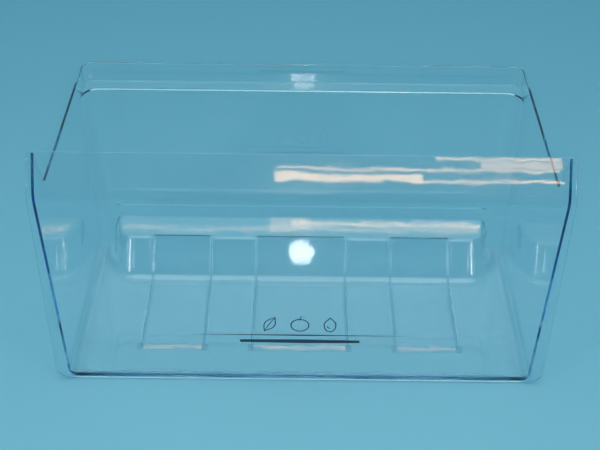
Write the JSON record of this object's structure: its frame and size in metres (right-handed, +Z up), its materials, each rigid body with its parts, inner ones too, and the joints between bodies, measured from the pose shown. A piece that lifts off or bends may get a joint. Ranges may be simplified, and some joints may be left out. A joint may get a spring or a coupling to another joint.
{
  "type": "fridge crisper drawer",
  "caption": "Clear moulded fridge drawer, open at the top, with an overhanging front panel whose lip leans back and a rear step over a recess.",
  "frame": {"origin": "under the middle of the drawer, on the plane that the skids rest on", "axes": "+X along the front panel, +Y from the front panel to the back, +Z up"},
  "size_m": [0.485, 0.262, 0.257],
  "materials": {
    "clear_plastic": "clear, high gloss"
  },
  "bodies": {
    "root": {"crisper_drawer": "clear_plastic"}
  },
  "joints": []
}
